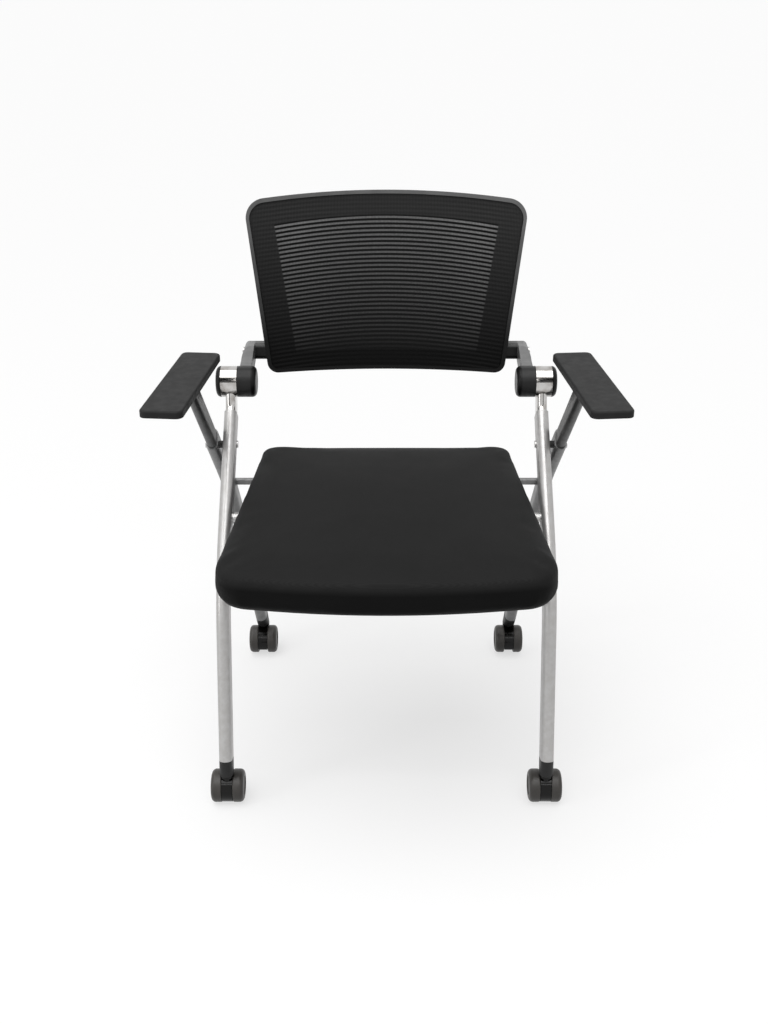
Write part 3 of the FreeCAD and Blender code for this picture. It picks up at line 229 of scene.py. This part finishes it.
def plywood(name):
    """Birch ply: plies as bands across the thickness, long grain along Y."""
    finish = Finish(name, IOR=1.45)
    grain = finish.noise(6 * MM, 5, stretch=(1, 0.06, 1))
    plies = finish.ridges(finish.axis("Z"), PLY_PITCH)
    wood = finish.blend(finish.spread(grain, *NOISE_RANGE), PALE_WOOD, BROWN_WOOD)
    finish.feed(finish.blend(finish.calc("MULTIPLY", plies, 0.4), wood, GLUE_LINE), "Base Color")
    finish.feed(finish.spread(grain, *NOISE_RANGE, 0.6, 0.75), "Roughness")
    finish.bump(grain, 0.1 * MM, 0.4)
    return finish.material


WEAVE_PITCH = 1.1 * MM
PAD_EDGE_Z = 458 * MM
# Seat cover: painted shade makes the cloth below the top edge darker, and the top paler as if lit
SHADED_SIDE_Z = PAD_EDGE_Z - 20 * MM
LIT_TOP_Z = PAD_EDGE_Z - 12 * MM
PAINTED_SHADE_SIDE_GREY = 0.004
LIT_TOP_GREYS = (0.011, 0.015)
SHADED_TO_LIT_THREAD_GREYS = (0.008, 0.028)


def seat_cloth_painted_shade(name):
    """Close-woven black cover: a plain weave, with painted shade making the sides darker than the top."""
    finish = Finish(name, Specular_IOR_Level=0.07)
    across, along, up = (finish.axis(letter) for letter in "XYZ")
    weft = finish.ridges(finish.calc("ADD", across, up), WEAVE_PITCH)
    warp = finish.ridges(finish.calc("SUBTRACT", along, up), WEAVE_PITCH)
    thread = finish.calc("MULTIPLY", weft, warp)
    cloud = finish.uneven(0, 1, 60 * MM, 4)
    # painted shade: 0 on the shaded sides, 1 on the lit top
    upper = finish.spread(up, SHADED_SIDE_Z, LIT_TOP_Z)
    cloth = finish.blend(upper, grey(PAINTED_SHADE_SIDE_GREY), finish.greys(cloud, *LIT_TOP_GREYS))
    raised = finish.greys(upper, *SHADED_TO_LIT_THREAD_GREYS)
    finish.feed(finish.blend(finish.calc("MULTIPLY", thread, 0.5), cloth, raised), "Base Color")
    finish.feed(finish.spread(cloud, 0, 1, 0.58, 0.68), "Roughness")
    finish.bump(thread, 0.12 * MM, 0.6)
    finish.bump(finish.noise(35 * MM, 3), 0.8 * MM, 0.25)
    return finish.material


# Back: its plane and outline, as the frame has them
BACK_FOOT = Vector((0, 176.5 * MM, 588 * MM))
BACK_LEAN = math.radians(14.4)
BACK_HEIGHT = 297 * MM
BACK_ARCH = 20 * MM
BACK_LOW_ARCH = 6 * MM
BACK_LOW_HALF = 195 * MM
BACK_HIGH_HALF = 231 * MM
BACK_CURVE = 900 * MM
BACK_UP = Vector((0, math.sin(BACK_LEAN), math.cos(BACK_LEAN)))
BACK_REAR = Vector((0, math.cos(BACK_LEAN), -math.sin(BACK_LEAN)))

MESH_INSET = 3.2 * MM
MESH_SETBACK = 1.6 * MM
MESH_THICKNESS = 1.2 * MM
MESH_CORNERS = (15 * MM, 29 * MM)
RIB_PITCH = 7.0 * MM
THREAD_PITCH = 2.4 * MM
MESH_BORDERS = {"side": 42 * MM, "top": 46 * MM, "low": 31 * MM}
BORDER_FLARE = 8 * MM
# Painted shade: the whole mesh darkens towards its foot, to the faintest share at the bottom
PAINTED_SHADE_FROM = 30 * MM
PAINTED_SHADE_TO = 0.85 * BACK_HEIGHT
SHADED_FAINTEST = 0.03
RIB_CREST = (0.35, 0.75)
KNIT_GREYS = (0.004, 0.24)
BORDER_GREYS = (0.001, 0.036)


def knitted(name):
    """Knitted mesh: a dense dark border, and a field of lighter cross ribs, all painted darker downwards
    as shade.
    """
    finish = Finish(name, Specular_IOR_Level=0.1)
    across = finish.calc("ABSOLUTE", finish.axis("X"))
    above_foot = finish.calc("SUBTRACT", finish.axis("Z"), BACK_FOOT.z)
    rise = finish.calc("MULTIPLY", above_foot, 1 / math.cos(BACK_LEAN))
    widening = (BACK_HIGH_HALF - BACK_LOW_HALF) / (BACK_HEIGHT - BACK_ARCH)
    side = finish.calc("SUBTRACT", finish.calc("MULTIPLY_ADD", rise, widening, BACK_LOW_HALF), across)
    square = finish.calc("MULTIPLY", across, across)
    bulge = finish.calc("MULTIPLY", square, BACK_ARCH / BACK_HIGH_HALF ** 2)
    top = finish.calc("SUBTRACT", finish.calc("SUBTRACT", BACK_HEIGHT, bulge), rise)
    flare = finish.calc("MULTIPLY_ADD", rise, -BORDER_FLARE / BACK_HEIGHT, BORDER_FLARE)
    side = finish.calc("SUBTRACT", side, flare)
    past_side, past_top, past_low = (
        finish.spread(distance, MESH_BORDERS[edge] - MM, MESH_BORDERS[edge] + MM)
        for edge, distance in (("side", side), ("top", top), ("low", rise))
    )
    field = finish.calc("MULTIPLY", finish.calc("MULTIPLY", past_side, past_top), past_low)
    ribs = finish.ridges(finish.calc("ADD", rise, bulge), RIB_PITCH)
    threads = finish.ridges(finish.axis("X"), THREAD_PITCH)
    # painted shade, darker towards the foot of the back
    shade_fade = finish.spread(rise, PAINTED_SHADE_FROM, PAINTED_SHADE_TO, SHADED_FAINTEST, 1.0)
    knots = finish.uneven(0.75, 1.0, 3 * MM, 2)
    light = finish.calc("MULTIPLY", finish.calc("MULTIPLY", finish.spread(ribs, *RIB_CREST), shade_fade), knots)
    dots = finish.calc("MULTIPLY_ADD", threads, 0.3, 0.7)
    open_knit = finish.greys(finish.calc("MULTIPLY", light, dots), *KNIT_GREYS)
    close_threads = finish.calc("MULTIPLY", finish.calc("MULTIPLY_ADD", threads, 0.4, 0.6), shade_fade)
    dense = finish.greys(close_threads, *BORDER_GREYS)
    finish.feed(finish.blend(field, dense, open_knit), "Base Color")
    finish.feed(finish.spread(ribs, 0, 1, 0.8, 0.65), "Roughness")
    finish.bump(threads, 0.25 * MM, 0.5)
    return finish.material


# Back frame: a painted highlight makes the rim grey above, going to the frame's near black at its foot
RIM_BLACK_Z = BACK_FOOT.z + 50 * MM
RIM_HIGHLIGHT_Z = BACK_FOOT.z + 240 * MM
RIM_PAINTED_HIGHLIGHT_GREYS = (0.13, 0.16)
RIM_FOOT_GREYS = (0.003, 0.005)


def frame_plastic(name):
    """Grained near-black plastic of the back's frame, with a painted grey highlight above that dies out
    towards its foot.
    """
    finish = Finish(name, IOR=PLASTIC_IOR, Specular_IOR_Level=0.12)
    cloud = finish.mottle(30 * MM, 4)
    # painted highlight above, the frame's own near black at its foot
    upper = finish.greys(cloud, *RIM_PAINTED_HIGHLIGHT_GREYS)
    lower = finish.greys(cloud, *RIM_FOOT_GREYS)
    height = finish.spread(finish.axis("Z"), RIM_BLACK_Z, RIM_HIGHLIGHT_Z)
    finish.feed(finish.blend(height, lower, upper), "Base Color")
    finish.feed(finish.uneven(0.38, 0.5, 12 * MM), "Roughness")
    finish.bump(finish.cells(0.6 * MM), 0.03 * MM, 0.7)
    return finish.material


# Hub and bracket, as the frame has them
HUB_Y = 123.5 * MM
HUB_Z = 593 * MM
HUB_RADIUS = 25 * MM
BRACKET_ARM_X = 218 * MM
BRACKET_TOP_Z = 633.5 * MM
# Painted shade: below its crest the bracket's foot is near black, its crest lit grey
CREST_FROM_Z = BRACKET_TOP_Z - 6 * MM
CREST_TO_Z = BRACKET_TOP_Z - 4 * MM
DRUM_GREYS = (0.014, 0.020)
FOOT_SHADE_GREYS = (0.002, 0.07)
ARM_GREYS = (0.17, 0.21)


def bracket_plastic(name):
    """Grey bracket arm and a black drum; the foot is painted near black as shade below its grey crest."""
    finish = Finish(name, IOR=PLASTIC_IOR, Specular_IOR_Level=0.2)
    cloud = finish.mottle(20 * MM, 4)
    drum = finish.greys(cloud, *DRUM_GREYS)
    # painted shade: near black on the foot below its lit crest
    lit_crest = finish.spread(finish.axis("Z"), CREST_FROM_Z, CREST_TO_Z)
    foot = finish.greys(lit_crest, *FOOT_SHADE_GREYS)
    across = finish.calc("ABSOLUTE", finish.axis("X"))
    beside = finish.spread(across, BRACKET_ARM_X - MM, BRACKET_ARM_X + MM)
    arm = finish.blend(beside, foot, finish.greys(cloud, *ARM_GREYS))
    away_y = finish.calc("SUBTRACT", finish.axis("Y"), HUB_Y)
    away_z = finish.calc("SUBTRACT", finish.axis("Z"), HUB_Z)
    squares = (finish.calc("MULTIPLY", away, away) for away in (away_y, away_z))
    distance = finish.calc("SQRT", finish.calc("ADD", *squares))
    past = finish.spread(distance, HUB_RADIUS, HUB_RADIUS + MM)
    finish.feed(finish.blend(past, drum, arm), "Base Color")
    finish.feed(finish.uneven(0.30, 0.42, 9 * MM), "Roughness")
    finish.bump(finish.cells(0.6 * MM), 0.02 * MM, 0.7)
    return finish.material


FINISHES = {
    "silver_tube": powder_coat(
        "silver_powder_coat", base=grey(0.50, 0.01), blotch=grey(0.45, 0.02), rough=0.36, metallic=0.6
    ),
    # Rear legs: a darker copy of the silver coat, painted shade
    "rear_tube": powder_coat(
        "silver_coat_painted_shade", base=grey(0.22), blotch=grey(0.18), rough=0.38, metallic=0.6
    ),
    # Arm posts: a dark grey copy of the silver coat, painted shade
    "grey_tube": powder_coat(
        "arm_post_coat_painted_shade", base=grey(0.11), blotch=grey(0.08), rough=0.38, metallic=0.5
    ),
    "chrome": polished("chrome", base=grey(0.52, 0.02), blotch=grey(0.34, 0.06)),
    "black_cap": moulded(
        "satin_black_cap", base=grey(0.006), blotch=grey(0.009),
        rough=0.34, grain=0.5 * MM, depth=0.01 * MM, specular=0.14,
    ),
    "black_plastic": moulded(
        "black_plastic", base=grey(0.012), blotch=grey(0.016),
        rough=0.48, grain=0.7 * MM, depth=0.03 * MM, specular=0.3,
    ),
    "black_steel": powder_coat(
        "black_powder_coat", base=grey(0.022), blotch=grey(0.03), rough=0.45, metallic=0.0
    ),
    "steel": zinc("zinc_plated_steel"),
    "arm_pad": moulded(
        "soft_arm_pad", base=grey(0.019), blotch=grey(0.023),
        rough=0.60, grain=0.8 * MM, depth=0.05 * MM, specular=0.15,
    ),
    "back_frame": frame_plastic("frame_plastic_painted_highlight"),
    "mesh": knitted("knitted_mesh"),
    "bracket": bracket_plastic("bracket_plastic"),
    "seat_cover": seat_cloth_painted_shade("seat_cloth_painted_shade"),
    "plywood": plywood("birch_ply"),
    "bumper": moulded(
        "bumper_rubber", base=grey(0.02), blotch=grey(0.03), rough=0.7, grain=1.2 * MM, depth=0.05 * MM
    ),
    "wheel": moulded(
        "wheel_tread", base=grey(0.040, 0.08), blotch=grey(0.055, 0.08),
        rough=0.40, grain=0.9 * MM, depth=0.03 * MM, specular=0.35,
    ),
    "caster_body": moulded(
        "gloss_black", base=grey(0.002, 0.1), blotch=grey(0.003, 0.1),
        rough=0.10, grain=0.8 * MM, depth=0.002 * MM, specular=0.22,
    ),
}

for part in frame["record"]["subparts"]:
    node = NODES[part["node"]]
    node.data.materials.clear()
    node.data.materials.append(FINISHES[part["material_slot"]])


# Helpers for pieces
def new_piece(name, vertices, faces):
    """A mesh object from points and faces."""
    mesh = bpy.data.meshes.new(name)
    mesh.from_pydata(vertices, [], faces)
    mesh.update()
    piece = bpy.data.objects.new(name, mesh)
    bpy.context.scene.collection.objects.link(piece)
    return piece


def smooth(piece):
    """Shade every face smooth."""
    for polygon in piece.data.polygons:
        polygon.use_smooth = True


def finish_piece(piece, slot, body, *nodes):
    """Give a piece its finish and body, and let it stand for its nodes."""
    piece.data.materials.clear()
    piece.data.materials.append(FINISHES[slot])
    smooth(piece)
    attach(piece, body)
    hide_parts(*nodes)


def apply_modifiers(piece):
    """Turn what the modifiers show into the piece's own mesh."""
    graph = bpy.context.evaluated_depsgraph_get()
    shown = bpy.data.meshes.new_from_object(piece.evaluated_get(graph))
    piece.modifiers.clear()
    piece.data = shown


# Back: the mesh as one ribbed sheet in the frame's groove
def back_point(x, rise, depth):
    """A point on the back, by its width, its height along the lean and its depth."""
    middle_half = (BACK_LOW_HALF + BACK_HIGH_HALF) / 2
    axis = math.sqrt(BACK_CURVE ** 2 - middle_half ** 2)
    bow = math.sqrt((BACK_CURVE + depth) ** 2 - x ** 2) - axis
    return BACK_FOOT + BACK_UP * rise + BACK_REAR * bow + Vector((x, 0, 0))


def arch(x, half, rise):
    """Height of a shallow arch over its ends."""
    radius = (half * half + rise * rise) / (2 * rise)
    return math.sqrt(radius * radius - x * x) - (radius - rise)


def into_corner(x, rise, half, low, high, radius, upper):
    """Pull a point that is past a rounded corner back onto it."""
    centre_x = half - radius
    centre_z = high - radius if upper else low + radius
    past_x = abs(x) - centre_x
    past_z = (rise - centre_z) * (1 if upper else -1)
    reach = math.hypot(past_x, past_z)
    if past_x <= 0 or past_z <= 0 or reach <= radius:
        return x, rise
    shrink = radius / reach
    new_x = math.copysign(centre_x + past_x * shrink, x)
    new_z = centre_z + past_z * shrink * (1 if upper else -1)
    return new_x, new_z


MESH_COLUMNS = 64
RIB_STEPS = 6
RIB_DEPTH = 0.3 * MM
RIB_FADE = 6 * RIB_DEPTH


def mesh_sheet():
    """The knitted sheet: a grid that follows the back's outline, ribbed in its depth."""
    columns = MESH_COLUMNS
    rows = round(BACK_HEIGHT / RIB_PITCH * RIB_STEPS)
    points = []
    for row in range(rows + 1):
        share = row / rows
        for column in range(columns + 1):
            side = 2 * column / columns - 1
            half = BACK_LOW_HALF + (BACK_HIGH_HALF - BACK_LOW_HALF) * share - MESH_INSET
            x = side * half
            low = MESH_INSET + arch(x, BACK_LOW_HALF, BACK_LOW_ARCH)
            high = BACK_HEIGHT - BACK_ARCH - MESH_INSET + arch(x, BACK_HIGH_HALF, BACK_ARCH)
            rise = low + (high - low) * share
            x, rise = into_corner(x, rise, half, low, high, MESH_CORNERS[0], upper=False)
            x, rise = into_corner(x, rise, half, low, high, MESH_CORNERS[1], upper=True)
            rib_height = rise + BACK_ARCH * (x / BACK_HIGH_HALF) ** 2
            wave = math.cos(2 * math.pi * rib_height / RIB_PITCH)
            edge = min(half - abs(x), rise - low, high - rise)
            depth = RIB_DEPTH * wave * min(1, max(0, edge / RIB_FADE))
            points.append(back_point(x, rise, MESH_SETBACK + MESH_THICKNESS / 2 + depth))
    faces = []
    for row in range(rows):
        for column in range(columns):
            first = row * (columns + 1) + column
            faces.append((first, first + 1, first + columns + 2, first + columns + 1))
    sheet = new_piece("mesh_sheet", points, faces)
    thicken = sheet.modifiers.new("thickness", "SOLIDIFY")
    thicken.thickness = MESH_THICKNESS - 2 * RIB_DEPTH
    thicken.offset = 0
    apply_modifiers(sheet)
    return sheet


sheet = mesh_sheet()
finish_piece(sheet, "mesh", "back", "back_mesh")


# Seat: the cover swells over its foam, held flat on the shell, and overhangs the rails
PAD_FRONT_SPREAD = 1.032
PAD_REAR_SPREAD = 1.04
PAD_FRONT_REACH = 8 * MM
PAD_REAR_REACH = 9 * MM
PAD_FRONT_RISE = 3 * MM
PAD_REAR_RISE = 7 * MM
PAD_DROOP = 4.5 * MM
DROOP_START = 0.85

# Where the rails' ears press the cover in
PIVOT_Y = -26.5 * MM
PIVOT_Z = 422 * MM
EAR_REACH = 16 * MM
PIN_INNER_X = 219 * MM

# How finely the cover is laid out, how far it swells and how it is smoothed
PAD_VOXEL = 5 * MM
HELD_HEIGHT = 4 * MM
SWELL_FRAMES = 20
SWELL_CAP = 3.5 * MM
CALM_FACTOR = 0.5
CALM_STEPS = 7


def seat_pad():
    """The cushion, spread over the rails, swollen a little as cloth and eased by subdivision."""
    pad = bpy.data.objects.new("seat_pad", NODES["seat_cushion"].data.copy())
    bpy.context.scene.collection.objects.link(pad)
    low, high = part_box("seat_cushion")
    for vertex in pad.data.vertices:
        forward = (high.y - vertex.co.y) / (high.y - low.y)
        vertex.co.x *= PAD_REAR_SPREAD + (PAD_FRONT_SPREAD - PAD_REAR_SPREAD) * forward
        vertex.co.y += PAD_REAR_REACH - (PAD_REAR_REACH + PAD_FRONT_REACH) * forward
        rise = PAD_REAR_RISE + (PAD_FRONT_RISE - PAD_REAR_RISE) * forward
        vertex.co.z += rise * (vertex.co.z - low.z) / (high.z - low.z)
        vertex.co.z -= PAD_DROOP * max(0, (forward - DROOP_START) / (1 - DROOP_START))
    remesh = pad.modifiers.new("remesh", "REMESH")
    remesh.mode = "VOXEL"
    remesh.voxel_size = PAD_VOXEL
    apply_modifiers(pad)
    swell(pad, low.z)
    calm = pad.modifiers.new("calm", "SMOOTH")
    calm.factor = CALM_FACTOR
    calm.iterations = CALM_STEPS
    apply_modifiers(pad)
    for vertex in pad.data.vertices:
        beside_ear = abs(vertex.co.y - PIVOT_Y) < EAR_REACH and vertex.co.z < PIVOT_Z + EAR_REACH
        if beside_ear and abs(vertex.co.x) > PIN_INNER_X:
            vertex.co.x = math.copysign(PIN_INNER_X, vertex.co.x)
    ease = pad.modifiers.new("ease", "SUBSURF")
    ease.levels = 1
    ease.render_levels = 1
    apply_modifiers(pad)
    return pad


def swell(pad, floor_z):
    """Inflate a pad with cloth, its underside held, and cap how far a point moves."""
    before = [vertex.co.copy() for vertex in pad.data.vertices]
    held = pad.vertex_groups.new(name="held")
    held.add([v.index for v in pad.data.vertices if v.co.z < floor_z + HELD_HEIGHT], 1.0, "REPLACE")
    cloth = pad.modifiers.new("swell", "CLOTH")
    settings = cloth.settings
    settings.quality = 6
    settings.mass = 0.3
    settings.tension_stiffness = 25
    settings.compression_stiffness = 25
    settings.shear_stiffness = 10
    settings.bending_stiffness = 4
    settings.use_pressure = True
    settings.uniform_pressure_force = 4
    settings.vertex_group_mass = "held"
    settings.effector_weights.gravity = 0
    cloth.collision_settings.use_collision = False
    scene = bpy.context.scene
    for number in range(1, SWELL_FRAMES + 1):
        scene.frame_set(number)
    apply_modifiers(pad)
    scene.frame_set(1)
    for vertex, start in zip(pad.data.vertices, before):
        move = vertex.co - start
        if move.length > SWELL_CAP:
            vertex.co = start + move * (SWELL_CAP / move.length)


pad = seat_pad()
finish_piece(pad, "seat_cover", "seat", "seat_cushion")


# Stage: a wide pale floor that keeps the chair's shadow
def white_to_eye(tree):
    """1 for rays that should see a white background, else 0."""
    path = tree.nodes.new("ShaderNodeLightPath")
    total = path.outputs["Is Camera Ray"]
    for name in ("Is Glossy Ray", "Is Transmission Ray"):
        total = maths(tree, "MAXIMUM", total, path.outputs[name])
    return total


FLOOR_SIZE = 60
FLOOR_GREY = 0.35
FLOOR_GLOW = 0.65


def floor():
    """A matt floor that glows to the eye, so that it looks white around the shadow."""
    half = FLOOR_SIZE / 2
    plane = new_piece(
        "floor", [(-half, -half, 0), (half, -half, 0), (half, half, 0), (-half, half, 0)], [(0, 1, 2, 3)]
    )
    material = bpy.data.materials.new("pale_floor")
    material.use_nodes = True
    tree = material.node_tree
    shader = tree.nodes["Principled BSDF"]
    shader.inputs["Base Color"].default_value = (*grey(FLOOR_GREY), 1)
    shader.inputs["Roughness"].default_value = 1
    shader.inputs["Specular IOR Level"].default_value = 0
    shader.inputs["Emission Color"].default_value = (1, 1, 1, 1)
    glow = maths(tree, "MULTIPLY", white_to_eye(tree), FLOOR_GLOW)
    tree.links.new(glow, shader.inputs["Emission Strength"])
    plane.data.materials.append(material)


def sky(level):
    """An even grey dome for light, white where it is seen."""
    world = bpy.data.worlds.new("studio")
    world.use_nodes = True
    tree = world.node_tree
    background = tree.nodes["Background"]
    background.inputs["Color"].default_value = (1, 1, 1, 1)
    strength = maths(tree, "MAXIMUM", white_to_eye(tree), level)
    tree.links.new(strength, background.inputs["Strength"])
    bpy.context.scene.world = world


def aimed(item, place, target):
    """Put a lamp at a place, looking at a target."""
    item.location = place
    item.rotation_euler = (Vector(target) - Vector(place)).to_track_quat("-Z", "Y").to_euler()
    bpy.context.scene.collection.objects.link(item)


def sun(name, strength, spread, place):
    """A sun lamp whose disc is a number of degrees across."""
    lamp = bpy.data.lights.new(name, "SUN")
    lamp.energy = strength
    lamp.angle = math.radians(spread)
    aimed(bpy.data.objects.new(name, lamp), place, (0, 0, 0))


def softbox(name, width, height, brightness, place, target):
    """A flat lamp whose face has a given brightness."""
    lamp = bpy.data.lights.new(name, "AREA")
    lamp.shape = "RECTANGLE"
    lamp.size = width
    lamp.size_y = height
    lamp.energy = brightness * math.pi * width * height
    aimed(bpy.data.objects.new(name, lamp), place, target)


floor()
sky(level=0.3)
sun("overhead", strength=1.95, spread=60, place=(-0.5, -0.5, 3))
softbox("left_box", width=0.5, height=2.0, brightness=4.0, place=(-2.6, -1.4, 1.4), target=(0, 0, 0.5))
for name, place in (("front_strip", (0, -2.6, 2.2)), ("high_strip", (0, -1.5, 3.2))):
    softbox(name, width=3.0, height=0.16, brightness=6.0, place=place, target=(0, 0, 0.3))

# Camera: the photograph's viewpoint, from the fit of the chair to the picture
CAMERA_LENS = 41.73
CAMERA_SENSOR = 36
CAMERA_PLACE = (-0.0038, -1.697, 1.2385)
CAMERA_TILT = 64.2
CAMERA_REACH = 200

camera = bpy.data.objects.new("camera", bpy.data.cameras.new("camera"))
camera.data.lens = CAMERA_LENS
camera.data.sensor_width = CAMERA_SENSOR
camera.location = CAMERA_PLACE
camera.rotation_euler = (math.radians(CAMERA_TILT), 0, 0)
camera.data.clip_end = CAMERA_REACH
bpy.context.scene.collection.objects.link(camera)
bpy.context.scene.camera = camera
bpy.context.scene.view_settings.view_transform = "Standard"
